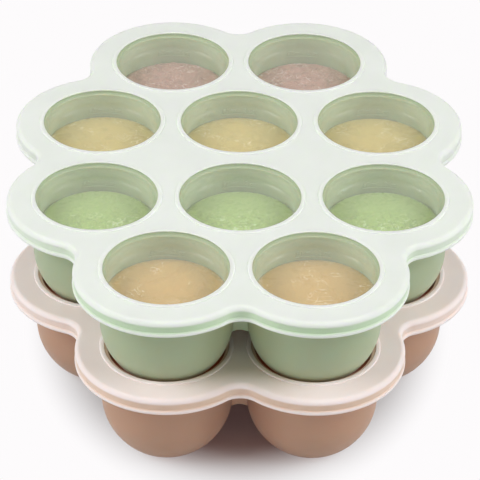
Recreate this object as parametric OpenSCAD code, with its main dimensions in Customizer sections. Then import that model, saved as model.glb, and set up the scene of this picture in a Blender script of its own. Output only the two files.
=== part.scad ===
// Baby food freezer tray: a stack of two ten-cup silicone trays, each closed by its own
// frosted lid. The feet of the upper cups stand in the dished windows of the lower lid.
// Every cup of the upper tray holds a portion of puree, and the lower tray is empty.
//
// X runs along the rows of cups, Y from the front row to the back row, and Z up. The
// origin is in the middle of the stack, level with the feet of the lower cups.

/* [Layout] */
// Distance between the centres of neighbouring cups
cup_pitch = 60; // [58:0.5:75]
// Radius of the flange's lobe round an outer cup
lobe_r = 35.8; // [33:0.1:43]
// Radius of the flange's hollow between two lobes
notch_r = 10.7; // [7:0.1:20]

/* [Tray] */
// Outside radius of a cup
cup_r = 27.2; // [22:0.1:28]
// Radius of the flat foot under a cup
foot_r = 17.2; // [12:0.1:20]
// Thickness of a cup's wall and floor
wall_t = 2.2; // [1.5:0.1:3]
// Height of a tray, from its feet to the top of its flange
tray_h = 44; // [36:0.1:60]
// Thickness of the flange
flange_t = 3; // [2:0.1:4]
// Rounding of a cup's mouth
mouth_round = 1.5; // [0.5:0.1:1.9]
// Fillet between a cup and the underside of the flange
root_fillet = 2.4; // [1:0.1:4]

/* [Webs between the cups] */
// Thickness of a web
web_t = 3; // [2:0.1:5]
// How far a web reaches down from the top of the flange, at the top of its arch
web_drop = 28; // [15:0.1:32]
// Rise of the arch along the foot of a web
web_arch = 0.8; // [0.4:0.1:2.5]

/* [Lid] */
// Thickness of the lid's top
lid_t = 1.4; // [1:0.1:2]
// Height of the lid, from the foot of its skirt to its top
lid_h = 7.4; // [6:0.1:10]
// Thickness of the skirt
skirt_t = 1.1; // [0.8:0.1:1.8]
// Rounding of the lid's top edge
edge_round = 2; // [1:0.1:2.5]
// How far the top edge stands out over the band of the skirt
edge_out = 0.5; // [0.2:0.1:0.8]
// Height of the bead at the foot of the skirt
bead_h = 2.4; // [1.6:0.1:3]
// How far the bead stands out past the band
bead_out = 0.7; // [0.3:0.1:0.9]

/* [Windows] */
// How much wider a window is than the cup under it
window_flare = 0.6; // [0.3:0.1:0.9]
// Depth of a window's dish below the top of the lid
dish_depth = 7.4; // [5:0.1:8.8]
// Thickness of a window
window_t = 0.7; // [0.5:0.1:1.2]
// Rounding between the floor of a dish and its side
dish_round = 2; // [1:0.1:3]
// Width of the raised ring round a window
ring_w = 1.8; // [1:0.1:2.4]
// Height of the raised ring
ring_h = 0.5; // [0.2:0.1:0.8]

/* [Puree] */
// How far the puree stands below the top of the flange
puree_drop = 10.9; // [10.5:0.1:20]
// The same for the red puree, whose portions are smaller
red_drop = 12.4; // [10.5:0.1:20]

/* [Fits] */
// Gap between the flange and the skirt round it
skirt_gap = 0.3; // [0.2:0.05:0.6]
// Gap between a dish and the cup it hangs in
dish_gap = 0.4; // [0.2:0.05:0.8]
// Gap under a tray or lid where it rests
seat_gap = 0.15; // [0.05:0.05:0.3]
// Gap between the puree and the cup
puree_gap = 0.15; // [0.05:0.05:0.3]

/* [Hidden] */
$fn = 96;

// Rows of the layout: the outer rows hold two cups and the inner rows three
outer_row = cup_pitch * (1 + sqrt(3)) / 2;
inner_row = cup_pitch / 2;
// Cups round the edge, counter-clockwise from the front left, and the two in the middle
rim_cups = [
    [-cup_pitch / 2, -outer_row], [cup_pitch / 2, -outer_row],
    [cup_pitch, -inner_row], [cup_pitch, inner_row],
    [cup_pitch / 2, outer_row], [-cup_pitch / 2, outer_row],
    [-cup_pitch, inner_row], [-cup_pitch, -inner_row]
];
middle_cups = [[0, -inner_row], [0, inner_row]];
cups = concat(rim_cups, middle_cups);
rim_count = len(rim_cups);

// From the middle of a lobe to the centre of the hollow beside it, and from the line of
// cups out to that centre
lobe_to_notch = lobe_r + notch_r;
hollow_out = sqrt(lobe_to_notch * lobe_to_notch - cup_pitch * cup_pitch / 4);
// Step where a lobe meets a hollow, and how far the middle reaches past the rim cups
blend_step = 0.02;
core_reach = 1.03;

// Height of the ball that rounds the bottom of a cup, and the inside of the cup
bowl_z = sqrt(cup_r * cup_r - foot_r * foot_r);
bore_r = cup_r - wall_t;
flange_z = tray_h - flange_t;

// Radii of the lid, from the middle of a lobe
skirt_in = lobe_r + skirt_gap;
band_r = skirt_in + skirt_t;
edge_r = band_r + edge_out;
bead_r = band_r + bead_out;
window_r = bore_r + window_flare;
// Inside of a dish below its flare, the depth of the flare, the draft of the side from
// there to the floor, and the angle between points round its corner
dish_r = bore_r - dish_gap - window_t;
dish_neck = window_r - dish_r;
dish_draft = 0.7;
dish_step = 15;
// Height of the plain edge between the top's rounding and the recessed band
edge_land = 0.3;

// Heights of the pieces in the stack
lid_top = tray_h + seat_gap + lid_t;
stack_pitch = lid_top - dish_depth + seat_gap;

// Small overlap that lets a cut or a joint run past a face
over = 1;

function turn_of(v) = atan2(v[1], v[0]);
function next_cup(i) = rim_cups[(i + 1) % rim_count];
// Centre of the hollow between a rim cup and the next one
function hollow(i) = (rim_cups[i] + next_cup(i)) / 2
    + hollow_out * [next_cup(i)[1] - rim_cups[i][1], rim_cups[i][0] - next_cup(i)[0]] / cup_pitch;

// Corner of side r whose round stretch bulges into it from the far corner
module round_corner(r) {
    difference() {
        square(r);
        translate([r, r]) circle(r);
    }
}

// Quarter disc with its centre at the origin
module quarter_disc(r) {
    intersection() {
        circle(r);
        square(r);
    }
}

// Solid in the outline of a flower: a lobe round each rim cup, a filler in each hollow
// between two lobes, and the middle. The child is its half section, whose X is the
// distance from the middle of a lobe and which is solid from there out to its edge.
module flower(bottom, top) {
    for (c = rim_cups) translate(c) rotate_extrude() children();
    for (i = [0 : rim_count - 1]) difference() {
        prism([rim_cups[i], hollow(i), next_cup(i)], bottom, top);
        translate(hollow(i)) rotate_extrude() difference() {
            translate([0, bottom - over])
                square([lobe_to_notch - cup_r, top - bottom + 2 * over]);
            translate([lobe_to_notch + blend_step, 0]) mirror([1, 0]) children();
        }
    }
    prism([for (c = rim_cups) core_reach * c], bottom, top);
}

// Upright prism between two heights
module prism(outline, bottom, top) {
    translate([0, 0, bottom]) linear_extrude(top - bottom) polygon(outline);
}

// Section of the flange, with its outer edge fully rounded
module flange_section() {
    translate([0, flange_z]) square([lobe_r - flange_t / 2, flange_t]);
    translate([lobe_r - flange_t / 2, flange_z + flange_t / 2]) {
        quarter_disc(flange_t / 2);
        mirror([0, 1]) quarter_disc(flange_t / 2);
    }
}

// Half section of the ball-bottomed shape of a cup, from a flat floor up to a height
module bowl_section(r, floor_z, top) {
    intersection() {
        translate([0, bowl_z]) circle(r);
        translate([0, floor_z]) square([r + over, bowl_z - floor_z]);
    }
    translate([0, bowl_z]) square([r, top - bowl_z]);
}

// Outside of a cup, with the fillet that joins it to the flange
module cup_outside() {
    rotate_extrude() {
        bowl_section(cup_r, 0, tray_h - flange_t / 2);
        translate([cup_r, flange_z]) mirror([0, 1]) round_corner(root_fillet);
    }
}

// Space inside a cup, with its rounded mouth
module cup_inside() {
    rotate_extrude() {
        bowl_section(bore_r, wall_t, tray_h + over);
        translate([bore_r, tray_h]) mirror([0, 1]) round_corner(mouth_round);
        translate([bore_r, tray_h]) square([mouth_round, over]);
    }
}

// Web between two neighbouring cups, with a low arch along its foot
module web(from, to) {
    gap = cup_pitch - 2 * cup_r;
    arch_r = gap * gap / 8 / web_arch + web_arch / 2;
    web_foot = tray_h - web_drop - web_arch;
    web_top = tray_h - flange_t / 2;
    translate(concat((from + to) / 2, [0])) rotate(turn_of(to - from))
        difference() {
            translate([-gap / 2 - wall_t / 2, -web_t / 2, web_foot])
                cube([gap + wall_t, web_t, web_top - web_foot]);
            translate([0, over + web_t / 2, tray_h - web_drop - arch_r])
                rotate([90, 0, 0]) cylinder(r = arch_r, h = web_t + 2 * over);
        }
}

// Silicone tray, in its own place with its feet at Z = 0
module tray() {
    difference() {
        union() {
            flower(flange_z, tray_h) flange_section();
            for (c = cups) translate(c) cup_outside();
            for (i = [0 : len(cups) - 2], j = [i + 1 : len(cups) - 1])
                if (norm(cups[i] - cups[j]) < 1.01 * cup_pitch) web(cups[i], cups[j]);
        }
        for (c = cups) translate(c) cup_inside();
    }
}

// Section of the lid's outside, from its foot up: bead, recessed band and rounded edge
module lid_section() {
    bead_round = bead_h / 2;
    translate([0, -lid_h]) square([bead_r - bead_round, bead_round]);
    translate([bead_r - bead_round, -lid_h + bead_round]) {
        quarter_disc(bead_round);
        mirror([0, 1]) quarter_disc(bead_round);
    }
    translate([0, -lid_h + bead_round])
        square([band_r, lid_h - bead_round - edge_round - edge_land]);
    translate([0, -edge_round - edge_land]) square([edge_r, edge_land]);
    translate([0, -edge_round]) square([edge_r - edge_round, edge_round]);
    translate([edge_r - edge_round, -edge_round]) quarter_disc(edge_round);
}

// Points round the corner of a dish, from its floor up to its side, at a depth below it
function dish_corner(r, below) = [
    for (a = [0 : dish_step : 90])
        [dish_r - dish_draft - dish_round + r * sin(a),
         -dish_depth - below + r * (1 - cos(a))]
];
function reversed(points) = [for (i = [len(points) - 1 : -1 : 0]) points[i]];

// Section of a dished window, its side and the raised ring round it
module window_section() {
    ring_out = window_r + ring_w;
    polygon(concat(
        // The side that is seen from above: floor, side, flare and ring
        [[0, -dish_depth]],
        dish_corner(dish_round, 0),
        [
            [dish_r, -dish_neck], [window_r, 0],
            [window_r, ring_h / 2], [window_r + ring_h / 2, ring_h],
            [ring_out - ring_h, ring_h], [ring_out, 0]
        ],
        // The side that hangs in the cup, back to the middle
        [
            [ring_out, -lid_t], [window_r + window_t / 2, -lid_t],
            [dish_r + window_t, -dish_neck - window_t / 2]
        ],
        reversed(dish_corner(dish_round + window_t, window_t)),
        [[0, -dish_depth - window_t]]
    ));
}

// Frosted lid with its clear dished windows, in its own place with its top at Z = 0
module lid() {
    difference() {
        flower(-lid_h, 0) lid_section();
        flower(-lid_h - over, -lid_t)
            translate([0, -lid_h - over]) square([skirt_in, lid_h + over - lid_t]);
        for (c = cups)
            translate([c[0], c[1], -lid_t - over])
                cylinder(r = window_r + ring_w / 2, h = lid_t + 2 * over);
    }
    for (c = cups) translate(c) rotate_extrude() window_section();
}

// Portion of puree in the upper tray's cup
module puree(c, drop = puree_drop) {
    translate([c[0], c[1], stack_pitch]) rotate_extrude()
        bowl_section(bore_r - puree_gap, wall_t + puree_gap, tray_h - drop);
}

module lower_tray() {
    color("rosybrown") tray();
}

module lower_lid() {
    color("mistyrose") translate([0, 0, lid_top]) lid();
}

module upper_tray() {
    color("darkseagreen") translate([0, 0, stack_pitch]) tray();
}

module upper_lid() {
    color("honeydew") translate([0, 0, stack_pitch + lid_top]) lid();
}

module red_puree_left() {
    color("indianred") puree([-cup_pitch / 2, outer_row], red_drop);
}

module red_puree_right() {
    color("indianred") puree([cup_pitch / 2, outer_row], red_drop);
}

module yellow_puree_left() {
    color("khaki") puree([-cup_pitch, inner_row]);
}

module yellow_puree_centre() {
    color("khaki") puree([0, inner_row]);
}

module yellow_puree_right() {
    color("khaki") puree([cup_pitch, inner_row]);
}

module green_puree_left() {
    color("yellowgreen") puree([-cup_pitch, -inner_row]);
}

module green_puree_centre() {
    color("yellowgreen") puree([0, -inner_row]);
}

module green_puree_right() {
    color("yellowgreen") puree([cup_pitch, -inner_row]);
}

module orange_puree_left() {
    color("sandybrown") puree([-cup_pitch / 2, -outer_row]);
}

module orange_puree_right() {
    color("sandybrown") puree([cup_pitch / 2, -outer_row]);
}

lower_tray();
lower_lid();
upper_tray();
upper_lid();
red_puree_left();
red_puree_right();
yellow_puree_left();
yellow_puree_centre();
yellow_puree_right();
green_puree_left();
green_puree_centre();
green_puree_right();
orange_puree_left();
orange_puree_right();
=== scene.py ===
"""Baby food freezer tray: a stack of two ten-cup silicone trays, each under its own frosted
lid with clear dished windows, and ten portions of puree in the upper tray.

X runs along the rows of cups, Y from the front row to the back row, and Z up. The places of
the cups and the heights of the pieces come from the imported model.
"""

import math

import bmesh
import bpy
from mathutils import Matrix, Vector, noise


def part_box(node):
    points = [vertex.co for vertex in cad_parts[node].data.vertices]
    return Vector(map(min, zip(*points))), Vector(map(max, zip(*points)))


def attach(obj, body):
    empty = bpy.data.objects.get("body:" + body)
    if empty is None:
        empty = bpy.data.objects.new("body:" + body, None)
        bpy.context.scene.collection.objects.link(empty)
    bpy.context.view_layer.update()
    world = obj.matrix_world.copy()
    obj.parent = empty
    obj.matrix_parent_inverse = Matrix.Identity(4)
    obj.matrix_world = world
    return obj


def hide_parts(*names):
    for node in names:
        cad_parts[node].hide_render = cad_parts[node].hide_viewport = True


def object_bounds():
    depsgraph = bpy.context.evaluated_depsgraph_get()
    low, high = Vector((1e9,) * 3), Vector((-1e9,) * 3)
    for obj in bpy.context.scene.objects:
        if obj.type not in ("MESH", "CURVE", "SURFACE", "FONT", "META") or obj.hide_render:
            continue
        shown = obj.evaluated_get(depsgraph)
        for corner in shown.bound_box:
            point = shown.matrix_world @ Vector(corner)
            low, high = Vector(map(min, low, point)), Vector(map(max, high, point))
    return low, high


bl_info = {
    "name": "Baby food freezer tray",
    "version": (1, 0, 0),
    "blender": (4, 5, 0),
    "location": "View3D > Sidebar > Freezer tray",
    "description": "Builds a stack of two silicone freezer trays with lids and puree",
    "category": "Object",
}

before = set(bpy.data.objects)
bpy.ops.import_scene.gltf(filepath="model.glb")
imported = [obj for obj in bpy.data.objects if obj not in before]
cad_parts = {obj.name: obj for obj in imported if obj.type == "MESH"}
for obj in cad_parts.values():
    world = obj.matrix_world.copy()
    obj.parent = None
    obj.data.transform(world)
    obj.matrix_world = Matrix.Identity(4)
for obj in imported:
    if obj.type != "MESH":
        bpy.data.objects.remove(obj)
cad_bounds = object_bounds()

MM = 0.001

# The portions stand in the middle of their cups, so they also give the layout of the cups
RIM_PORTIONS = [
    "orange_puree_left", "orange_puree_right", "green_puree_right", "yellow_puree_right",
    "red_puree_right", "red_puree_left", "yellow_puree_left", "green_puree_left",
]
MIDDLE_PORTIONS = ["green_puree_centre", "yellow_puree_centre"]


def middle_of(node):
    """Middle of a node's box, seen from above."""
    low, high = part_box(node)
    return Vector(((low.x + high.x) / 2, (low.y + high.y) / 2))


RIM_CUPS = [middle_of(node) for node in RIM_PORTIONS]
CUPS = RIM_CUPS + [middle_of(node) for node in MIDDLE_PORTIONS]
CUP_PITCH = (RIM_CUPS[1] - RIM_CUPS[0]).length

# Heights of the two trays' feet, and how far each tray and lid reaches above them
TRAY_FEET = {level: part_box(level + "_tray")[0].z for level in ("lower", "upper")}
TRAY_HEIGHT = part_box("lower_tray")[1].z - TRAY_FEET["lower"]
LOBE_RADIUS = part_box("lower_tray")[1].x - CUP_PITCH
LID_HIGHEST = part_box("lower_lid")[1].z - TRAY_FEET["lower"]

# Points on a full turn of a cup, and the angle between points on the flower outline
CUP_STEPS = 96
OUTLINE_STEP = math.radians(3)
# Width of the flat strip that keeps a rounding's shading off a flat face
MARGIN = 0.3 * MM
# Two cups share a web if their distance is under this many pitches
WEB_REACH = 1.01


# ---------------------------------------------------------------- sizes and colours


def linear_colour(code):
    """Linear RGBA from an sRGB hex value."""
    levels = [int(code[i:i + 2], 16) / 255 for i in (0, 2, 4)]
    return [v / 12.92 if v <= 0.04045 else ((v + 0.055) / 1.055) ** 2.4 for v in levels] + [1.0]


def length_in_mm(name, size, description):
    """Property for a length, with its default in millimetres."""
    return bpy.props.FloatProperty(
        name=name, description=description, default=size * MM, min=0, precision=4,
        subtype="DISTANCE", unit="LENGTH")


def colour(name, code, description):
    """Property for a colour, with its default as an sRGB hex value."""
    return bpy.props.FloatVectorProperty(
        name=name, description=description, default=linear_colour(code), size=4, min=0, max=1,
        subtype="COLOR")


class TraySizes(bpy.types.PropertyGroup):
    """Sizes of a silicone tray."""

    notch: length_in_mm("Notch radius", 10.7, "Hollow of the flange between two lobes")
    cup: length_in_mm("Cup radius", 27.2, "Outside radius of a cup")
    foot: length_in_mm("Foot radius", 17.2, "Flat foot under a cup")
    wall: length_in_mm("Wall", 2.2, "Thickness of a cup's wall and floor")
    flange: length_in_mm("Flange", 3.0, "Thickness of the flange")
    mouth: length_in_mm("Mouth rounding", 0.6, "Rounding of a cup's mouth")
    fillet: length_in_mm("Root fillet", 2.4, "Fillet between a cup and the flange")
    web: length_in_mm("Web", 3.0, "Thickness of a web between two cups")
    web_drop: length_in_mm("Web depth", 28.0, "From the flange's top down to a web's arch")
    web_arch: length_in_mm("Web arch", 0.8, "Rise of the arch along a web's foot")


class MarkSizes(bpy.types.PropertyGroup):
    """Sizes of the raised volume marks in the cups."""

    drop: length_in_mm("Depth of the line", 9.6, "From the flange's top down to the fill line")
    line: length_in_mm("Line length", 15.0, "Length of the fill line along the wall")
    thick: length_in_mm("Line thickness", 0.45, "Height of the fill line")
    figure: length_in_mm("Figure height", 3.0, "Font size of the figures over the line")
    raised: length_in_mm("Relief", 0.28, "How far the marks stand out of the wall")
    gap: length_in_mm("Figure gap", 0.7, "From the line up to the figures")


class LidSizes(bpy.types.PropertyGroup):
    """Sizes of a frosted lid and its windows."""

    film: length_in_mm("Top thickness", 1.4, "Thickness of the lid's top")
    height: length_in_mm("Height", 7.4, "From the foot of the skirt to the top")
    skirt: length_in_mm("Skirt thickness", 1.1, "Thickness of the skirt")
    skirt_gap: length_in_mm("Skirt gap", 0.3, "Gap between the flange and the skirt")
    edge_round: length_in_mm("Edge rounding", 2.0, "Rounding of the top's edge")
    edge_out: length_in_mm("Edge overhang", 0.5, "How far the edge overhangs the band")
    edge_land: length_in_mm("Edge land", 0.3, "Plain edge between rounding and band")
    bead: length_in_mm("Bead height", 2.4, "Height of the bead at the skirt's foot")
    bead_out: length_in_mm("Bead overhang", 0.7, "How far the bead stands out past the band")
    window: length_in_mm("Window radius", 25.6, "Radius of a window at the lid's top")
    ring: length_in_mm("Ring width", 1.8, "Width of the raised ring round a window")
    ring_height: length_in_mm("Ring height", 0.5, "Height of the raised ring")
    dish: length_in_mm("Dish depth", 7.4, "Depth of a window's dish")
    dish_radius: length_in_mm("Dish radius", 23.9, "Inside of a dish below its flare")
    draft: length_in_mm("Dish draft", 0.7, "How much the dish narrows to its floor")
    dish_round: length_in_mm("Dish rounding", 2.0, "Rounding between dish floor and side")
    pane: length_in_mm("Window thickness", 0.7, "Thickness of a window")


class Colours(bpy.types.PropertyGroup):
    """Colours of the pieces."""

    sage: colour("Sage silicone", "A8B494", "Upper tray")
    mocha: colour("Mocha silicone", "BA947C", "Lower tray")
    green_white: colour("Greenish white", "E4E9E1", "Upper lid")
    # The skirt colours are the flange showing through the band, darkened by painted shade
    green_skirt: colour("Skirt over sage", "C4D8BA", "Upper lid's skirt, with the sage behind it")
    green_pane: colour("Greenish window", "E6E9D9", "Upper lid's windows")
    pink_white: colour("Pinkish white", "F3E2DF", "Lower lid")
    pink_skirt: colour("Skirt over mocha", "DDC3AF", "Lower lid's skirt, with the mocha behind it")
    # The pinkish window tint colours the lower lid's milky dish sides, partly painted light in the
    # crescents round the feet
    pink_pane: colour("Pinkish window", "E2C8B6", "Lower lid's windows")
    red: colour("Red puree", "BC8A80", "Back row")
    yellow: colour("Yellow puree", "D1B965", "Second row")
    green: colour("Green puree", "A8C46D", "Third row")
    orange: colour("Orange puree", "D1A656", "Front row")
    # Painted shade: the floor is grey round the stack, which deepens the stack's shadow; away from
    # it the lit floor shows
    floor: colour("Floor", "BEC0C2", "Pale floor, where it takes the stack's shadow")
    lit_floor: colour("Lit floor", "FDFBFC", "Floor away from the stack's shadow")


class Stage(bpy.types.PropertyGroup):
    """Camera, lamps and floor."""

    aim: bpy.props.FloatVectorProperty(
        name="Aim", description="Point that the camera looks at", subtype="TRANSLATION",
        unit="LENGTH", default=(0.58 * MM, 2.09 * MM, 40 * MM))
    distance: length_in_mm("Camera distance", 1071.44, "From the aim to the camera")
    elevation: bpy.props.FloatProperty(
        name="Elevation", description="Camera's height over the horizon", subtype="ANGLE",
        default=math.radians(34.355))
    azimuth: bpy.props.FloatProperty(
        name="Azimuth", description="How far the camera stands to the left", subtype="ANGLE",
        default=math.radians(0.8016))
    roll: bpy.props.FloatProperty(
        name="Roll", description="Camera's turn about its own axis", subtype="ANGLE",
        default=math.radians(0.7317))
    focal: bpy.props.FloatProperty(
        name="Focal length", description="In millimetres, on a 36 mm sensor",
        subtype="DISTANCE_CAMERA", default=182.988)
    overhead: bpy.props.FloatProperty(
        name="Overhead lamp", description="Power of the large lamp over the stack",
        subtype="POWER", unit="POWER", default=2.0)
    sides: bpy.props.FloatProperty(
        name="Side lamps", description="Power of the lamp on each side", subtype="POWER",
        unit="POWER", default=19.0)
    front: bpy.props.FloatProperty(
        name="Front lamp", description="Power of the low lamp in front", subtype="POWER",
        unit="POWER", default=12.0)
    sky: bpy.props.FloatProperty(
        name="Sky", description="Strength of the even light from all sides", default=0.12)
    floor_half: length_in_mm("Floor", 2500, "Half the width of the floor")


# ---------------------------------------------------------------- shapes


def polar(angle):
    """Level direction at an angle from X."""
    return Vector((math.cos(angle), math.sin(angle)))


def circle(centre, radius, height, steps=CUP_STEPS):
    """Points on a level circle, counter-clockwise."""
    turns = [2 * math.pi * i / steps for i in range(steps)]
    return [(centre + radius * polar(turn)).to_3d() + Vector((0, 0, height)) for turn in turns]


def hollow_centre(i, notch):
    """Centre of the hollow between a rim cup and the next one."""
    here, there = RIM_CUPS[i], RIM_CUPS[(i + 1) % len(RIM_CUPS)]
    along = there - here
    out = Vector((along.y, -along.x)).normalized()
    return (here + there) / 2 + out * math.sqrt((LOBE_RADIUS + notch) ** 2 - along.length ** 2 / 4)


def sweep_angles(start, end, turn):
    """Angles from one direction to another, turning left for 1 and right for -1."""
    first = math.atan2(start.y, start.x)
    span = turn * (math.atan2(end.y, end.x) - first) % (2 * math.pi)
    steps = math.ceil(span / OUTLINE_STEP)
    return [first + turn * span * i / steps for i in range(steps + 1)]


def flower(reach, height, notch):
    """Points on the flower outline at a distance from the middle of its lobes."""
    points = []
    for i, cup in enumerate(RIM_CUPS):
        before, after = hollow_centre(i - 1, notch), hollow_centre(i, notch)
        following = RIM_CUPS[(i + 1) % len(RIM_CUPS)]
        hollow = LOBE_RADIUS + notch - reach
        points += [cup + reach * polar(a) for a in sweep_angles(before - cup, after - cup, 1)]
        points += [after + hollow * polar(a)
                   for a in sweep_angles(cup - after, following - after, -1)[1:-1]]
    return [point.to_3d() + Vector((0, 0, height)) for point in points]


def rounding(centre, radius, start, end, steps=8):
    """Points (reach, height) on a round stretch of a section, between two angles in degrees."""
    angles = [math.radians(start + (end - start) * i / steps) for i in range(steps + 1)]
    return [(centre[0] + radius * math.cos(a), centre[1] + radius * math.sin(a)) for a in angles]


def skin(mesh, section, path):
    """Skin swept by a section along a path, and its loops of points."""
    loops = [[mesh.verts.new(p) for p in path(reach, height)] for reach, height in section]
    for one, two in zip(loops, loops[1:]):
        for i in range(len(one)):
            mesh.faces.new((one[i - 1], one[i], two[i], two[i - 1]))
    return loops


def turned(mesh, centre, section, steps=CUP_STEPS):
    """Skin turned about a cup's axis."""
    return skin(mesh, section, lambda reach, height: circle(centre, reach, height, steps))


def plate(mesh, outside, holes):
    """Flat face with holes between loops of points."""
    edges = []
    for loop in [outside] + holes:
        for i in range(len(loop)):
            edges.append(mesh.edges.get((loop[i - 1], loop[i])))
    bmesh.ops.triangle_fill(mesh, edges=edges, use_beauty=True)


def finished(name, mesh, sharp=35):
    """Object from a closed mesh, smooth apart from its sharp edges."""
    bmesh.ops.recalc_face_normals(mesh, faces=mesh.faces)
    data = bpy.data.meshes.new(name)
    mesh.to_mesh(data)
    mesh.free()
    return as_object(name, data, sharp)


def as_object(name, data, sharp=35):
    """Object from mesh data, smooth apart from edges sharper than so many degrees."""
    data.shade_smooth()
    data.set_sharp_from_angle(angle=math.radians(sharp))
    piece = bpy.data.objects.new(name, data)
    bpy.context.scene.collection.objects.link(piece)
    return piece


def moved_copy(name, piece, rise):
    """Copy of a piece at another height, with its place in its mesh."""
    data = piece.data.copy()
    data.transform(Matrix.Translation((0, 0, rise)))
    return as_object(name, data)


def joined(pieces, name):
    """One object from several, with their modifiers applied."""
    mesh = bmesh.new()
    graph = bpy.context.evaluated_depsgraph_get()
    for piece in pieces:
        part = piece.evaluated_get(graph).to_mesh()
        part.transform(piece.matrix_world)
        mesh.from_mesh(part)
    for piece in pieces:
        bpy.data.objects.remove(piece)
    data = bpy.data.meshes.new(name)
    mesh.to_mesh(data)
    mesh.free()
    return as_object(name, data)


# ---------------------------------------------------------------- the silicone trays


def bowl_rounding(radius, middle, floor, steps=12):
    """The round stretch of a bowl, from its side down to its floor."""
    lowest = -math.degrees(math.asin((middle - floor) / radius))
    return rounding((0, middle), radius, 0, lowest, steps)


def cup_inside_section(sizes):
    """Section of a cup's inside, from its mouth down to the middle of its floor."""
    bore = sizes.cup - sizes.wall
    middle = math.sqrt(sizes.cup ** 2 - sizes.foot ** 2)
    mouth = (bore + sizes.mouth, TRAY_HEIGHT - sizes.mouth)
    bowl = bowl_rounding(bore, middle, sizes.wall)
    floor_radius = bowl[-1][0]
    return (
        [(mouth[0] + MARGIN, TRAY_HEIGHT)]
        + rounding(mouth, sizes.mouth, 90, 180, 6)
        + bowl
        + [(floor_radius - MARGIN, sizes.wall), (MARGIN, sizes.wall)]
    )


def cup_outside_section(sizes):
    """Section of a cup's outside, from its root fillet down to the middle of its foot."""
    middle = math.sqrt(sizes.cup ** 2 - sizes.foot ** 2)
    root = (sizes.cup + sizes.fillet, TRAY_HEIGHT - sizes.flange - sizes.fillet)
    return (
        [(root[0] + MARGIN, TRAY_HEIGHT - sizes.flange)]
        + rounding(root, sizes.fillet, 90, 180, 6)
        + bowl_rounding(sizes.cup, middle, 0)
        + [(sizes.foot - MARGIN, 0), (MARGIN, 0)]
    )


def tray_body(sizes):
    """Flange and cups of a tray with its feet at Z = 0."""
    mesh = bmesh.new()
    edge = LOBE_RADIUS - sizes.flange / 2
    middle = TRAY_HEIGHT - sizes.flange / 2
    rim = skin(
        mesh,
        [(edge - MARGIN, TRAY_HEIGHT)]
        + rounding((edge, middle), sizes.flange / 2, 90, -90, 10)
        + [(edge - MARGIN, TRAY_HEIGHT - sizes.flange)],
        lambda reach, height: flower(reach, height, sizes.notch))
    inside = [turned(mesh, cup, cup_inside_section(sizes)) for cup in CUPS]
    outside = [turned(mesh, cup, cup_outside_section(sizes)) for cup in CUPS]
    for loops in inside + outside:
        mesh.faces.new(loops[-1])
    plate(mesh, rim[0], [loops[0] for loops in inside])
    plate(mesh, rim[-1], [loops[0] for loops in outside])
    return finished("tray_body", mesh)


def web_between(mesh, here, there, sizes, steps=16):
    """Upright web between two cups, with an arch along its foot."""
    along = (there - here).normalized()
    across = Vector((-along.y, along.x)) * sizes.web / 2
    half_gap = CUP_PITCH / 2 - sizes.cup
    end = half_gap + sizes.wall / 2
    foot = TRAY_HEIGHT - sizes.web_drop - sizes.web_arch
    radius = half_gap ** 2 / 2 / sizes.web_arch + sizes.web_arch / 2
    arch = []
    for i in range(steps + 1):
        x = half_gap * math.cos(math.pi * i / steps)
        arch.append((x, foot + sizes.web_arch - radius + math.sqrt(radius ** 2 - x ** 2)))
    top = TRAY_HEIGHT - sizes.flange / 2
    outline = [(end, top), (end, foot)] + arch + [(-end, foot), (-end, top)]
    sides = []
    for offset in (across, -across):
        points = [(here + there) / 2 + offset + x * along for x, _ in outline]
        sides.append([mesh.verts.new((p.x, p.y, z)) for p, (_, z) in zip(points, outline)])
        mesh.faces.new(sides[-1])
    for i in range(len(outline)):
        mesh.faces.new((sides[0][i - 1], sides[0][i], sides[1][i], sides[1][i - 1]))


def webs(sizes):
    """Webs between all pairs of neighbouring cups."""
    mesh = bmesh.new()
    for i, here in enumerate(CUPS):
        for there in CUPS[i + 1:]:
            if (there - here).length < WEB_REACH * CUP_PITCH:
                web_between(mesh, here, there, sizes)
    return finished("webs", mesh)


def silicone_tray(sizes):
    """One tray: its body joined with its webs."""
    body, ribs = tray_body(sizes), webs(sizes)
    union = body.modifiers.new("webs", "BOOLEAN")
    union.operation = "UNION"
    union.solver = "EXACT"
    union.object = ribs
    tray = joined([body], "tray")
    bpy.data.objects.remove(ribs)
    return tray


# ---------------------------------------------------------------- volume marks


def wrapped_on_wall(mesh, centre, radius, height):
    """Bends a flat mark in the XY plane onto the back of a cup's inner wall."""
    for vertex in mesh.verts:
        x, y, raised = vertex.co
        turn = math.pi / 2 - x / radius
        place = centre + (radius - raised) * polar(turn)
        vertex.co = (place.x, place.y, height + y)


def flat_figures(text, sizes):
    """Raised figures and letters, laid flat and centred on X."""
    curve = bpy.data.curves.new("figures", "FONT")
    curve.body = text
    curve.size = sizes.figure
    curve.align_x = "CENTER"
    curve.extrude = sizes.raised
    curve.resolution_u = 3
    lettering = bpy.data.objects.new("figures", curve)
    bpy.context.scene.collection.objects.link(lettering)
    graph = bpy.context.evaluated_depsgraph_get()
    data = bpy.data.meshes.new_from_object(lettering.evaluated_get(graph))
    bpy.data.objects.remove(lettering)
    return data


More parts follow.
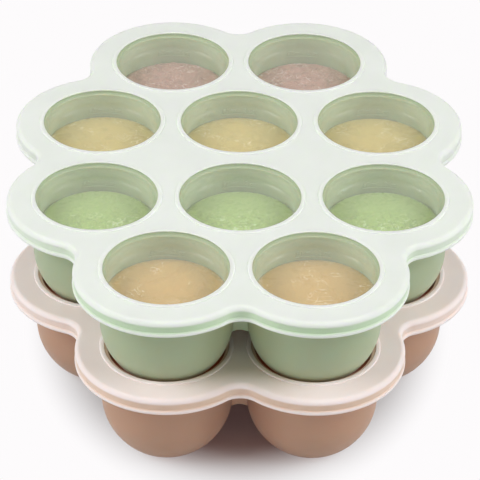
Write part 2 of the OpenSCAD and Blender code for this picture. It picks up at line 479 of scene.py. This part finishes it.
def volume_marks(sizes, tray_sizes):
    """Fill line with its volume, raised on the inner wall of every cup."""
    bore = tray_sizes.cup - tray_sizes.wall
    height = TRAY_HEIGHT - sizes.drop
    figures = flat_figures("60 ml   2 oz", sizes)
    marks = bmesh.new()
    for cup in CUPS:
        mark = bmesh.new()
        mark.from_mesh(figures)
        bmesh.ops.translate(mark, verts=mark.verts, vec=(0, sizes.gap, 0))
        bar_steps = 12
        rows = []
        for i in range(bar_steps + 1):
            x = sizes.line * (i / bar_steps - 0.5)
            rows.append([mark.verts.new((x, y, z)) for y, z in (
                (-sizes.thick, -sizes.raised), (0, -sizes.raised), (0, sizes.raised),
                (-sizes.thick, sizes.raised))])
        for one, two in zip(rows, rows[1:]):
            for k in range(4):
                mark.faces.new((one[k - 1], one[k], two[k], two[k - 1]))
        mark.faces.new(rows[0])
        mark.faces.new(rows[-1])
        wrapped_on_wall(mark, cup, bore, height)
        bent = bpy.data.meshes.new("mark")
        mark.to_mesh(bent)
        mark.free()
        marks.from_mesh(bent)
        bpy.data.meshes.remove(bent)
    return finished("marks", marks)


# ---------------------------------------------------------------- the lids


def lid_skirt_section(sizes):
    """Section of the lid's edge, from its top over the skirt to the underside. The top is at 0."""
    inside = LOBE_RADIUS + sizes.skirt_gap
    band = inside + sizes.skirt
    edge = band + sizes.edge_out
    bead_round = sizes.bead / 2
    bead = band + sizes.bead_out - bead_round
    meets_band = math.degrees(math.acos((band - bead) / bead_round))
    land = -sizes.edge_round - sizes.edge_land
    small = 0.25 * MM
    return (
        [(edge - sizes.edge_round - MARGIN, 0)]
        + rounding((edge - sizes.edge_round, -sizes.edge_round), sizes.edge_round, 90, 0, 10)
        + [(edge, land + small), (edge - small, land), (band + small, land), (band, land - small)]
        + rounding((bead, -sizes.height + bead_round), bead_round, meets_band, -90, 12)
        + [(inside + small, -sizes.height), (inside, -sizes.height + small)]
        + rounding((inside - small, -sizes.film - small), small, 0, 90, 3)
        + [(inside - small - MARGIN, -sizes.film)]
    )


def window_edge_section(sizes):
    """Section of the frosted edge of a window, with its raised ring. It thins out towards the
    window, where the clear side of the dish takes over."""
    out = sizes.window + sizes.ring
    rise = sizes.ring_height
    foot = 0.15 * MM
    outer_round = 1.4 * foot
    inner_round = 2 * foot
    return (
        [(out + 2 * MARGIN, 0), (out + foot, 0)]
        + rounding((out - outer_round, rise - outer_round), outer_round, 0, 90, 4)
        + rounding((sizes.window + inner_round, rise - inner_round), inner_round, 90, 180, 4)
        + [(out, -sizes.film), (out + MARGIN, -sizes.film)]
    )


def frosted_lid(sizes, notch):
    """Frosted top and skirt of a lid, with ten round openings."""
    mesh = bmesh.new()
    skirt = skin(mesh, lid_skirt_section(sizes), lambda reach, height: flower(reach, height, notch))
    rings = [turned(mesh, cup, window_edge_section(sizes)) for cup in CUPS]
    plate(mesh, skirt[0], [loops[0] for loops in rings])
    plate(mesh, skirt[-1], [loops[-1] for loops in rings])
    return finished("lid", mesh, sharp=50)


def dish_section(sizes, below):
    """One side of a dished window, from its edge to its floor, at a depth below the upper side."""
    clearance = 0.03 * MM
    lip = 0.1 * MM
    edge = sizes.window - clearance
    side = sizes.dish_radius + below
    neck = sizes.window - sizes.dish_radius
    corner = sizes.dish_round + below
    corner_reach = sizes.dish_radius - sizes.draft - sizes.dish_round
    return (
        [(edge, lip - below / 2), (edge - 0.1 * neck, -0.15 * neck - below / 2)]
        + rounding((side + neck, -neck - below / 2), neck, 135, 180, 5)
        + rounding((corner_reach, -sizes.dish + sizes.dish_round), corner, 0, -90, 8)
        + [(corner_reach - MARGIN, -sizes.dish - below), (MARGIN, -sizes.dish - below)]
    )


def clear_windows(sizes):
    """The ten clear dishes of a lid. The side that hangs in the cup takes the second material."""
    mesh = bmesh.new()
    for cup in CUPS:
        upper, lower = [turned(mesh, cup, dish_section(sizes, below)) for below in (0, sizes.pane)]
        for i in range(CUP_STEPS):
            mesh.faces.new((upper[0][i - 1], upper[0][i], lower[0][i], lower[0][i - 1]))
        mesh.faces.new(upper[-1])
        mesh.faces.new(lower[-1])
        for vertex in (vertex for loop in lower for vertex in loop):
            for face in vertex.link_faces:
                face.material_index = 1
    return finished("windows", mesh)


# ---------------------------------------------------------------- the portions

# How each puree looks. Sizes are in millimetres: its lumps and their height, the folds that
# the spoon left and their height, how far its middle rises, how far it falls away beside the
# wall, and the size of its fibres' curls. The rest are shares: how far light and dark patches
# differ, the noise level under which it has no fibres, how strong its grain is, and how much
# the spoon has smoothed its back, which also sets how far its back is darkened as painted
# shade.
PUREES = {
    "red": {
        "lump": 3.4, "rise": 0.50, "fold": 8.0, "fold_rise": 0.45, "mound": 0.5, "fall": 1.4,
        "curl": 4.0, "patches": 0.16, "bare": 0.42, "grain": 0.4, "smear_and_back_shade": 0.2},
    "yellow": {
        "lump": 8.0, "rise": 0.14, "fold": 10.0, "fold_rise": 0.10, "mound": 0.5, "fall": 0.8,
        "curl": 6.0, "patches": 0.08, "bare": 0.52, "grain": 0.2, "smear_and_back_shade": 0.3},
    "green": {
        "lump": 3.2, "rise": 0.75, "fold": 9.0, "fold_rise": 0.50, "mound": 1.2, "fall": 1.6,
        "curl": 6.0, "patches": 0.14, "bare": 0.40, "grain": 0.4, "smear_and_back_shade": 0.9},
    "orange": {
        "lump": 9.0, "rise": 0.12, "fold": 11.0, "fold_rise": 0.10, "mound": 0.7, "fall": 0.6,
        "curl": 5.0, "patches": 0.05, "bare": 0.54, "grain": 0.16, "smear_and_back_shade": 0.0},
}
# Width of the strip beside the wall where a portion falls away
SHOULDER = 3.2 * MM
# Half the width of the strip across a portion where its lumpy front turns into its smooth back
SMEAR_REACH = 9 * MM
# Points on a full turn of a portion
PORTION_STEPS = 160
# Fixes the noise that bends the folds, so that they are the same in each run
FOLD_SEED = 5


def puree_relief(point, look, seed):
    """Height of the lumps and folds at a point of a portion's surface."""
    shift = Vector((37.1 * seed, 11.3 * seed, 5.9 * seed))
    here = point / MM
    smoothness, fineness, layers = 0.9, 2.1, 4
    lumps = noise.fractal(here / look["lump"] + shift, smoothness, fineness, layers)
    # Folds are narrow ridges where a noise crosses zero, bent by a few millimetres
    bend, steepness, valley = 6, 3.2, -0.4
    warp = noise.noise_vector(here / (1.6 * look["fold"]) + shift) * bend
    folds = 1 - abs(noise.noise((here + warp) / look["fold"] - shift)) * steepness
    return MM * (look["rise"] * lumps + look["fold_rise"] * max(folds, valley) ** 3)


def portion(name, node, look, sizes, seed, rings=56):
    """A spooned portion: a mound, lumpy in front, on a body that fits the bowl."""
    low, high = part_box(node)
    centre = middle_of(node)
    radius = (high.x - low.x) / 2
    middle = TRAY_FEET["upper"] + math.sqrt(sizes.cup ** 2 - sizes.foot ** 2)
    edge = high.z - look["fall"] * MM
    mesh = bmesh.new()
    body = turned(mesh, centre, [(radius, edge)] + bowl_rounding(radius, middle, low.z)
                  + [(MARGIN, low.z)], PORTION_STEPS)
    mesh.faces.new(body[-1])
    top = [body[0]]
    for i in range(1, rings):
        reach = radius * (1 - i / rings)
        shoulder = 1 - (1 - min(1, (radius - reach) / SHOULDER)) ** 2
        rise = look["mound"] * (1 - (reach / radius) ** 2) * MM
        loop = []
        for spot in circle(centre, reach, 0, PORTION_STEPS):
            back = min(1, max(0, 0.5 + (spot.y - centre.y) / (2 * SMEAR_REACH)))
            relief = puree_relief(spot, look, seed) * shoulder * (1 - look["smear_and_back_shade"] * back)
            height = edge + shoulder * (high.z - edge) + rise + relief
            loop.append(mesh.verts.new((spot.x, spot.y, height)))
        top.append(loop)
    for one, two in zip(top, top[1:]):
        for i in range(PORTION_STEPS):
            mesh.faces.new((one[i - 1], one[i], two[i], two[i - 1]))
    mesh.faces.new(top[-1])
    return finished(name, mesh, sharp=70)


# ---------------------------------------------------------------- materials


def add_node(tree, kind, links=None, **settings):
    """Adds a node with its settings, and links or sets its inputs."""
    node = tree.nodes.new(kind)
    for name, value in settings.items():
        setattr(node, name, value)
    for name, value in (links or {}).items():
        if isinstance(value, bpy.types.NodeSocket):
            tree.links.new(value, node.inputs[name])
        else:
            node.inputs[name].default_value = value
    return node


def new_material(name):
    """Empty material with a Principled shader."""
    material = bpy.data.materials.new(name)
    material.use_nodes = True
    tree = material.node_tree
    return material, tree, tree.nodes["Principled BSDF"]


def per_mm(size):
    """Texture scale whose pattern repeats about every so many millimetres."""
    return 1 / (size * MM)


def shaded(value, factor):
    """A colour made lighter or darker."""
    return [min(1, channel * factor) for channel in value[:3]] + [1.0]


def paled(value, share):
    """A colour mixed with a share of white."""
    return [channel + (1 - channel) * share for channel in value[:3]] + [1.0]


def let_lamps_through(tree, shader, share):
    """Lets a share of the lamps' light pass each surface, so that what is inside is lit."""
    path = add_node(tree, "ShaderNodeLightPath")
    clear = add_node(tree, "ShaderNodeBsdfTransparent", {"Color": share})
    both = add_node(tree, "ShaderNodeMixShader", {
        0: path.outputs["Is Shadow Ray"], 1: shader.outputs[0], 2: clear.outputs[0]})
    tree.links.new(both.outputs[0], tree.nodes["Material Output"].inputs["Surface"])


def moulded_silicone(name, pigment):
    """Liquid silicone rubber from a bead-blasted mould: even pigment with a soft, dry sheen."""
    material, tree, shader = new_material(name)
    place = add_node(tree, "ShaderNodeTexCoord").outputs["Object"]
    # Pigment is stirred in by the batch, so its tone drifts a little over a few centimetres
    drift = add_node(tree, "ShaderNodeTexNoise", {
        "Vector": place, "Scale": per_mm(32), "Detail": 2.0, "Roughness": 0.45})
    tone = add_node(tree, "ShaderNodeValToRGB", {"Fac": drift.outputs["Fac"]})
    tone.color_ramp.elements[0].position = 0.3
    tone.color_ramp.elements[0].color = shaded(pigment, 0.965)
    tone.color_ramp.elements[1].position = 0.7
    tone.color_ramp.elements[1].color = shaded(pigment, 1.03)
    tree.links.new(tone.outputs["Color"], shader.inputs["Base Color"])
    # The blasted grain is about 0.1 mm, too fine for the render, so it is drawn at 0.7 mm
    grain = add_node(tree, "ShaderNodeTexNoise", {
        "Vector": place, "Scale": per_mm(0.7), "Detail": 3.0, "Roughness": 0.6})
    # Dust and handling leave the satin slightly uneven
    satin = add_node(tree, "ShaderNodeMapRange", {
        "Value": grain.outputs["Fac"], "To Min": 0.5, "To Max": 0.66})
    tree.links.new(satin.outputs["Result"], shader.inputs["Roughness"])
    relief = add_node(tree, "ShaderNodeBump", {
        "Height": grain.outputs["Fac"], "Strength": 0.12, "Distance": 0.06 * MM})
    tree.links.new(relief.outputs["Normal"], shader.inputs["Normal"])
    shader.inputs["IOR"].default_value = 1.41
    # Light spreads a few millimetres inside the rubber, which softens the shading of its edges
    shader.inputs["Subsurface Weight"].default_value = 0.6
    shader.inputs["Subsurface Scale"].default_value = 3.0 * MM
    shader.inputs["Subsurface Radius"].default_value = (1.0, 0.55, 0.35)
    shader.inputs["Sheen Weight"].default_value = 0.08
    shader.inputs["Sheen Roughness"].default_value = 0.5
    # Red light passes the soft walls best, so what lies behind them is lit warmly
    passed = [share * channel for share, channel in zip((1.2, 0.9, 0.7), pigment)]
    let_lamps_through(tree, shader, passed + [1])
    return material


def frosted_polypropylene(name, frost, skirt, spread, top, sizes):
    """Milky polypropylene with an etched finish. The coloured flange shows faintly through it
    round the skirt, mixed with painted shade on the band, and its top reads as white."""
    material, tree, shader = new_material(name)
    place = add_node(tree, "ShaderNodeTexCoord").outputs["Object"]
    axes = add_node(tree, "ShaderNodeSeparateXYZ", {"Vector": place})
    # Under the rounded edge the band lies close on the flange, whose colour comes through.
    # Its tint is also painted shade on this upright band, which the lamps overhead light less.
    span = sizes.height
    down = add_node(tree, "ShaderNodeMapRange", {
        "Value": axes.outputs["Z"], "From Min": top, "From Max": top - span})
    band_top = (sizes.edge_round + sizes.edge_land) / span
    band_foot = (span - sizes.bead) / span
    fade = 0.11
    tinted = add_node(tree, "ShaderNodeValToRGB", {"Fac": down.outputs["Result"]})
    stops = tinted.color_ramp.elements
    stops[0].position, stops[0].color = band_top - fade, (0, 0, 0, 1)
    stops[1].position, stops[1].color = 1.0, (0.1, 0.1, 0.1, 1)
    for position, level in ((band_top + fade, 1.0), (band_foot, 1.0), (band_foot + fade, 0.05)):
        stops.new(position).color = (level, level, level, 1)
    # Painted shade: the band's tint is drawn strongest at the front and fades towards the sides
    # and the back, where light that enters the band leaves it nearly white
    front = add_node(tree, "ShaderNodeMapRange", {
        "Value": axes.outputs["Y"], "From Min": 0.97 * cad_bounds[0].y,
        "From Max": 0.2 * cad_bounds[0].y, "To Min": 1.0, "To Max": 0.15})
    amount = add_node(tree, "ShaderNodeMath", {
        0: tinted.outputs["Color"], 1: front.outputs["Result"]}, operation="MULTIPLY")
    cloud = add_node(tree, "ShaderNodeTexNoise", {
        "Vector": place, "Scale": per_mm(22), "Detail": 3.0, "Roughness": 0.5})
    milky = add_node(tree, "ShaderNodeValToRGB", {"Fac": cloud.outputs["Fac"]})
    milky.color_ramp.elements[0].position = 0.3
    milky.color_ramp.elements[0].color = shaded(frost, 0.975)
    milky.color_ramp.elements[1].position = 0.7
    milky.color_ramp.elements[1].color = shaded(frost, 1.02)
    blend = add_node(tree, "ShaderNodeMix", {
        "Factor": amount.outputs[0], "A": milky.outputs["Color"]}, data_type="RGBA")
    blend.inputs["B"].default_value = skirt
    tree.links.new(blend.outputs["Result"], shader.inputs["Base Color"])
    # The etched grain is far finer than a pixel, so it is drawn at 0.5 mm
    grain = add_node(tree, "ShaderNodeTexNoise", {
        "Vector": place, "Scale": per_mm(0.5), "Detail": 2.0})
    etched = add_node(tree, "ShaderNodeMapRange", {
        "Value": grain.outputs["Fac"], "To Min": 0.62, "To Max": 0.78})
    tree.links.new(etched.outputs["Result"], shader.inputs["Roughness"])
    relief = add_node(tree, "ShaderNodeBump", {
        "Height": grain.outputs["Fac"], "Strength": 0.08, "Distance": 0.04 * MM})
    tree.links.new(relief.outputs["Normal"], shader.inputs["Normal"])
    shader.inputs["IOR"].default_value = 1.49
    shader.inputs["Specular IOR Level"].default_value = 0.35
    shader.inputs["Subsurface Weight"].default_value = 0.7
    shader.inputs["Subsurface Scale"].default_value = 3.0 * MM
    shader.inputs["Subsurface Radius"].default_value = spread
    # Milky polypropylene this thin passes about two fifths of the light to what is under it,
    # through two surfaces that take their shares in turn
    let_lamps_through(tree, shader, shaded(frost, 0.8))
    return material


def clear_polypropylene(name, tint, top, dish, haze):
    """Thin clarified polypropylene with a soft gloss. It is drawn least clear half way up the
    steep side of a dish, where its milky layer lightens the shaded wall seen through it, which
    is painted light. The haze gives how milky the floor, that side and the edge are. The upper
    side carries most of the haze of the whole thickness, because the lamps light it."""
    material, tree, shader = new_material(name)
    place = add_node(tree, "ShaderNodeTexCoord").outputs["Object"]
    # Flow from the gate leaves faint waves about a centimetre apart
    waves = add_node(tree, "ShaderNodeTexNoise", {
        "Vector": place, "Scale": per_mm(11), "Detail": 1.0})
    gloss = add_node(tree, "ShaderNodeMapRange", {
        "Value": waves.outputs["Fac"], "To Min": 0.14, "To Max": 0.24})
    tree.links.new(gloss.outputs["Result"], shader.inputs["Roughness"])
    relief = add_node(tree, "ShaderNodeBump", {
        "Height": waves.outputs["Fac"], "Strength": 0.04, "Distance": 0.1 * MM})
    tree.links.new(relief.outputs["Normal"], shader.inputs["Normal"])
    shader.inputs["Base Color"].default_value = tint
    shader.inputs["IOR"].default_value = 1.49
    height = add_node(tree, "ShaderNodeSeparateXYZ", {"Vector": place}).outputs["Z"]
    up = add_node(tree, "ShaderNodeMapRange", {
        "Value": height, "From Min": top - dish, "From Max": top})
    milky = add_node(tree, "ShaderNodeValToRGB", {"Fac": up.outputs["Result"]})
    milky.color_ramp.interpolation = "EASE"
    stops = milky.color_ramp.elements
    floor, side, edge = haze
    stops[0].color = (floor, floor, floor, 1)
    stops[1].color = (edge, edge, edge, 1)
    stops.new(0.5).color = (side, side, side, 1)
    tree.links.new(milky.outputs["Color"], shader.inputs["Alpha"])
    let_lamps_through(tree, shader, (0.98, 0.98, 0.98, 1))
    return material


def fruit_puree(name, pulp, look, row):
    """Cooked and mashed puree: wet, slightly see-through pulp with pale fibres, whose light curls
    are partly painted glints, and a back drawn darker as painted shade. The row is the place on Y
    of the middle of its portions."""
    material, tree, shader = new_material(name)
    place = add_node(tree, "ShaderNodeTexCoord").outputs["Object"]
    # The spoon leaves the back of a portion smooth, without patches, fibres or grain
    axes = add_node(tree, "ShaderNodeSeparateXYZ", {"Vector": place})
    smooth = add_node(tree, "ShaderNodeMapRange", {
        "Value": axes.outputs["Y"], "From Min": row - SMEAR_REACH, "From Max": row + SMEAR_REACH,
        "To Max": look["smear_and_back_shade"]}).outputs["Result"]
    rough = add_node(tree, "ShaderNodeMath", {0: 1.0, 1: smooth}, operation="SUBTRACT").outputs[0]
    # Pulp and juice part into lighter and darker patches, one for each lump
    pulp_noise = add_node(tree, "ShaderNodeTexNoise", {
        "Vector": place, "Scale": per_mm(look["lump"]), "Detail": 4.0, "Roughness": 0.6,
        "Distortion": 0.6})
    mix = add_node(tree, "ShaderNodeValToRGB", {"Fac": pulp_noise.outputs["Fac"]})
    mix.color_ramp.elements[0].position = 0.36
    mix.color_ramp.elements[0].color = shaded(pulp, 1 - look["patches"])
    mix.color_ramp.elements[1].position = 0.66
    mix.color_ramp.elements[1].color = shaded(pulp, 1 + look["patches"] / 2)
    # Fibres lie in loose curls of a few millimetres, drawn where a noise crosses its middle
    curl_noise = add_node(tree, "ShaderNodeTexNoise", {
        "Vector": place, "Scale": per_mm(look["curl"]), "Detail": 1.0, "Distortion": 1.6})
    off_middle = add_node(tree, "ShaderNodeMath", {
        0: curl_noise.outputs["Fac"], 1: 0.5}, operation="SUBTRACT")
    off_middle = add_node(tree, "ShaderNodeMath", {0: off_middle.outputs[0]}, operation="ABSOLUTE")
    line = add_node(tree, "ShaderNodeMapRange", {
        "Value": off_middle.outputs[0], "From Max": 0.03, "To Min": 1.0, "To Max": 0.0})
    spread = add_node(tree, "ShaderNodeTexNoise", {
        "Vector": place, "Scale": per_mm(1.7 * look["curl"]), "Detail": 0.0})
    sparse = add_node(tree, "ShaderNodeMapRange", {
        "Value": spread.outputs["Fac"], "From Min": look["bare"], "From Max": look["bare"] + 0.08})
    fibre_and_glint = add_node(tree, "ShaderNodeMath", {
        0: line.outputs["Result"], 1: sparse.outputs["Result"]}, operation="MULTIPLY")
    fibre_and_glint = add_node(tree, "ShaderNodeMath", {0: fibre_and_glint.outputs[0], 1: rough}, operation="MULTIPLY")
    # The smooth back is drawn a little darker, which is painted shade
    even = add_node(tree, "ShaderNodeMix", {
        "Factor": smooth, "A": mix.outputs["Color"]}, data_type="RGBA")
    even.inputs["B"].default_value = shaded(pulp, 0.86)
    # The fibres are drawn much lighter than the pulp: partly pale fibres, partly painted glints on
    # the wet curls
    blend = add_node(tree, "ShaderNodeMix", {
        "Factor": fibre_and_glint.outputs[0], "A": even.outputs["Result"]}, data_type="RGBA")
    blend.inputs["B"].default_value = paled(shaded(pulp, 1.5), 0.42)
    tree.links.new(blend.outputs["Result"], shader.inputs["Base Color"])
    wet = add_node(tree, "ShaderNodeMapRange", {
        "Value": pulp_noise.outputs["Fac"], "To Min": 0.16, "To Max": 0.42})
    tree.links.new(wet.outputs["Result"], shader.inputs["Roughness"])
    # Grain of the mash, about a millimetre across, under the raised curls
    mash = add_node(tree, "ShaderNodeTexNoise", {
        "Vector": place, "Scale": per_mm(1.2), "Detail": 3.0, "Distortion": 0.8})
    lift = add_node(tree, "ShaderNodeMath", {
        0: fibre_and_glint.outputs[0], 1: 1.2, 2: mash.outputs["Fac"]}, operation="MULTIPLY_ADD")
    strength = add_node(tree, "ShaderNodeMath", {0: rough, 1: look["grain"]}, operation="MULTIPLY")
    relief = add_node(tree, "ShaderNodeBump", {
        "Height": lift.outputs[0], "Strength": strength.outputs[0], "Distance": 0.35 * MM})
    tree.links.new(relief.outputs["Normal"], shader.inputs["Normal"])
    shader.inputs["IOR"].default_value = 1.37
    shader.inputs["Subsurface Weight"].default_value = 0.2
    shader.inputs["Subsurface Scale"].default_value = 1.5 * MM
    shader.inputs["Subsurface Radius"].default_value = (1.0, 0.6, 0.3)
    shader.inputs["Coat Weight"].default_value = 0.3
    shader.inputs["Coat Roughness"].default_value = 0.12
    return material


def studio_floor(name, pale, lit):
    """Matt paper sweep. It takes the stack's shadow and turns plain white away from it.
    Near the stack it is grey, which is painted shade that deepens that shadow.
    """
    material, tree, shader = new_material(name)
    # Painted shade: grey near the stack, so that its shadow reads darker
    shader.inputs["Base Color"].default_value = pale
    shader.inputs["Roughness"].default_value = 0.9
    shader.inputs["Specular IOR Level"].default_value = 0.1
    place = add_node(tree, "ShaderNodeTexCoord").outputs["Object"]
    # Measured from the middle in halves of the stack's width, and in longer steps along Y
    high = cad_bounds[1]
    halves = add_node(tree, "ShaderNodeVectorMath", {0: place, 1: (1 / high.x, 0.88 / high.y, 0)},
        operation="MULTIPLY")
    spread = add_node(tree, "ShaderNodeVectorMath", {0: halves.outputs[0]}, operation="LENGTH")
    away = add_node(tree, "ShaderNodeMapRange", {
        "Value": spread.outputs["Value"], "From Min": 0.66, "From Max": 0.97},
        interpolation_type="SMOOTHSTEP")
    path = add_node(tree, "ShaderNodeLightPath")
    seen = add_node(tree, "ShaderNodeMath", {0: path.outputs["Is Camera Ray"],
        1: path.outputs["Is Glossy Ray"]}, operation="MAXIMUM")
    seen = add_node(tree, "ShaderNodeMath", {0: seen.outputs[0],
        1: path.outputs["Is Transmission Ray"]}, operation="MAXIMUM")
    white = add_node(tree, "ShaderNodeEmission", {"Color": lit, "Strength": 1.0})
    amount = add_node(tree, "ShaderNodeMath", {0: away.outputs["Result"], 1: seen.outputs[0]},
        operation="MULTIPLY")
    both = add_node(tree, "ShaderNodeMixShader", {
        0: amount.outputs[0], 1: shader.outputs[0], 2: white.outputs[0]})
    tree.links.new(both.outputs[0], tree.nodes["Material Output"].inputs["Surface"])
    return material


# ---------------------------------------------------------------- operators


def settle(piece, materials, body, slot, *nodes):
    """Gives a piece its materials, and says what it rides on and stands for."""
    piece.data.materials.clear()
    for material in materials:
        piece.data.materials.append(material)
    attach(piece, body)
    if nodes:
        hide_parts(*nodes)


class FREEZER_OT_trays(bpy.types.Operator):
    """Build both silicone trays"""

    bl_idname = "freezer.trays"
    bl_label = "Silicone trays"

    def execute(self, context):
        scene = context.scene
        tray = silicone_tray(scene.tray_sizes)
        for level, pigment, slot in (
                ("lower", scene.colours.mocha, "mocha_silicone"),
                ("upper", scene.colours.sage, "sage_silicone")):
            node = level + "_tray"
            piece = moved_copy(level + "_silicone_tray", tray, TRAY_FEET[level])
            material = moulded_silicone("Moulded silicone, " + slot.split("_")[0], pigment)
            settle(piece, [material], node, slot, node)
        bpy.data.objects.remove(tray)
        return {"FINISHED"}


class FREEZER_OT_marks(bpy.types.Operator):
    """Build the raised volume marks in the cups of both trays"""

    bl_idname = "freezer.marks"
    bl_label = "Volume marks"

    def execute(self, context):
        scene = context.scene
        marks = volume_marks(scene.mark_sizes, scene.tray_sizes)
        for level, slot in (("lower", "mocha_silicone"), ("upper", "sage_silicone")):
            piece = moved_copy(level + "_volume_marks", marks, TRAY_FEET[level])
            material = bpy.data.objects[level + "_silicone_tray"].data.materials[0]
            settle(piece, [material], level + "_tray", slot)
        bpy.data.objects.remove(marks)
        return {"FINISHED"}


class FREEZER_OT_lids(bpy.types.Operator):
    """Build both frosted lids and their clear windows"""

    bl_idname = "freezer.lids"
    bl_label = "Lids and windows"

    def execute(self, context):
        scene = context.scene
        sizes, colours = scene.lid_sizes, scene.colours
        lid = frosted_lid(sizes, scene.tray_sizes.notch)
        windows = clear_windows(sizes)
        top = LID_HIGHEST - sizes.ring_height
        haze_below = (0.02, 0.06, 0.02)
        # Light that spreads through a lid comes back in the tone of the tray under it.
        # The lower lid's dishes are milkier and show only as crescents round the feet in them;
        # their milky layer is painted light, which lightens the deep shade in these crescents.
        for level, frost, skirt, pane, spread, haze, slot in (
                ("lower", colours.pink_white, colours.pink_skirt, colours.pink_pane,
                 (1.0, 0.8, 0.7), (0.3, 0.9, 0.85), "pink_white_lid"),
                ("upper", colours.green_white, colours.green_skirt, colours.green_pane,
                 (0.85, 1.0, 0.7), (0.17, 0.22, 0.08), "green_white_lid")):
            node = level + "_lid"
            rise = TRAY_FEET[level] + top
            frosted = moved_copy(level + "_frosted_lid", lid, rise)
            settle(frosted, [frosted_polypropylene(
                f"Frosted polypropylene, {level} lid", frost, skirt, spread, rise, sizes)],
                node, slot, node)
            clear = moved_copy(level + "_lid_windows", windows, rise)
            settle(clear, [
                clear_polypropylene(
                    f"Windows from above, {level} lid", pane, rise, sizes.dish, haze),
                clear_polypropylene(
                    f"Windows from below, {level} lid", pane, rise, sizes.dish, haze_below)],
                node, slot, node)
        bpy.data.objects.remove(lid)
        bpy.data.objects.remove(windows)
        return {"FINISHED"}


class FREEZER_OT_purees(bpy.types.Operator):
    """Build the ten portions of puree"""

    bl_idname = "freezer.purees"
    bl_label = "Portions of puree"

    def execute(self, context):
        scene = context.scene
        noise.seed_set(FOLD_SEED)
        for seed, node in enumerate(RIM_PORTIONS + MIDDLE_PORTIONS, start=1):
            flavour, _, side = node.split("_")
            look = PUREES[flavour]
            name = f"{flavour}_portion_{side}"
            piece = portion(name, node, look, scene.tray_sizes, seed)
            label = f"Mashed {flavour} puree"
            material = bpy.data.materials.get(label) or fruit_puree(
                label, getattr(scene.colours, flavour), look, middle_of(node).y)
            settle(piece, [material], "upper_tray", flavour + "_puree", node)
        return {"FINISHED"}


class FREEZER_OT_stage(bpy.types.Operator):
    """Set up the camera, the lamps and the floor"""

    bl_idname = "freezer.stage"
    bl_label = "Camera, lamps and floor"

    def execute(self, context):
        scene = context.scene
        stage = scene.stage
        place_camera(scene, stage)
        # Each lamp's place and width are in metres
        place_lamp("overhead_lamp", (0, -0.05, 1.5), 1.4, stage.overhead)
        place_lamp("left_lamp", (-1.25, -0.2, 0.98), 0.9, stage.sides)
        place_lamp("right_lamp", (1.25, -0.2, 0.98), 0.9, stage.sides)
        place_lamp("front_lamp", (0, -1.8, 0.15), 0.9, stage.front)
        even_sky(scene, stage.sky)
        half = stage.floor_half
        data = bpy.data.meshes.new("floor")
        data.from_pydata([(-half, -half, 0), (half, -half, 0), (half, half, 0), (-half, half, 0)],
                         [], [(0, 1, 2, 3)])
        colours = scene.colours
        data.materials.append(studio_floor("Matt paper sweep", colours.floor, colours.lit_floor))
        floor = bpy.data.objects.new("floor", data)
        scene.collection.objects.link(floor)
        scene.view_settings.view_transform = "Standard"
        return {"FINISHED"}


def place_camera(scene, stage):
    """Camera at the photograph's viewing angle."""
    aim = Vector(stage.aim)
    away = Vector((
        -math.sin(stage.azimuth) * math.cos(stage.elevation),
        -math.cos(stage.azimuth) * math.cos(stage.elevation),
        math.sin(stage.elevation)))
    data = bpy.data.cameras.new("camera")
    data.lens = stage.focal
    data.sensor_width = 36
    data.sensor_fit = "HORIZONTAL"
    data.clip_end = 20
    camera = bpy.data.objects.new("camera", data)
    scene.collection.objects.link(camera)
    turn = (-away).to_track_quat("-Z", "Y").to_matrix() @ Matrix.Rotation(stage.roll, 3, "Z")
    camera.matrix_world = Matrix.Translation(aim + away * stage.distance) @ turn.to_4x4()
    scene.camera = camera


def place_lamp(name, at, size, power):
    """Soft square lamp that points at the stack."""
    target = Vector((0, 0, 0.04))
    data = bpy.data.lights.new(name, "AREA")
    data.size = size
    data.energy = power
    lamp = bpy.data.objects.new(name, data)
    lamp.location = at
    lamp.rotation_euler = (target - Vector(at)).to_track_quat("-Z", "Y").to_euler()
    bpy.context.scene.collection.objects.link(lamp)


def even_sky(scene, strength):
    """World that is white to the camera and an even soft light to everything else."""
    world = bpy.data.worlds.new("studio")
    world.use_nodes = True
    scene.world = world
    tree = world.node_tree
    path = add_node(tree, "ShaderNodeLightPath")
    seen = add_node(tree, "ShaderNodeMath", {
        0: path.outputs["Is Camera Ray"], 1: path.outputs["Is Transmission Ray"]},
        operation="MAXIMUM")
    level = add_node(tree, "ShaderNodeMapRange", {
        "Value": seen.outputs[0], "To Min": strength, "To Max": 1.0})
    background = tree.nodes["Background"]
    background.inputs["Color"].default_value = (1, 1, 1, 1)
    tree.links.new(level.outputs["Result"], background.inputs["Strength"])


class FREEZER_PT_panel(bpy.types.Panel):
    """Lists the pieces of the freezer tray."""

    bl_idname = "FREEZER_PT_panel"
    bl_label = "Freezer tray"
    bl_space_type = "VIEW_3D"
    bl_region_type = "UI"
    bl_category = "Freezer tray"

    def draw(self, context):
        for operator in OPERATORS:
            self.layout.operator(operator.bl_idname)
        for group in GROUPS:
            box = self.layout.box()
            settings = getattr(context.scene, group)
            for name in settings.bl_rna.properties.keys():
                if name not in ("rna_type", "name"):
                    box.prop(settings, name)


GROUPS = {
    "tray_sizes": TraySizes,
    "mark_sizes": MarkSizes,
    "lid_sizes": LidSizes,
    "colours": Colours,
    "stage": Stage,
}
OPERATORS = [
    FREEZER_OT_stage, FREEZER_OT_trays, FREEZER_OT_marks, FREEZER_OT_lids, FREEZER_OT_purees,
]


def register():
    for group in list(GROUPS.values()) + OPERATORS + [FREEZER_PT_panel]:
        bpy.utils.register_class(group)
    for name, group in GROUPS.items():
        setattr(bpy.types.Scene, name, bpy.props.PointerProperty(type=group))


def unregister():
    for name in GROUPS:
        delattr(bpy.types.Scene, name)
    for group in [FREEZER_PT_panel] + OPERATORS + list(GROUPS.values()):
        bpy.utils.unregister_class(group)


def main():
    """Builds the whole scene."""
    register()
    bpy.ops.freezer.stage()
    bpy.ops.freezer.trays()
    bpy.ops.freezer.marks()
    bpy.ops.freezer.lids()
    bpy.ops.freezer.purees()


if __name__ == "__main__":
    main()
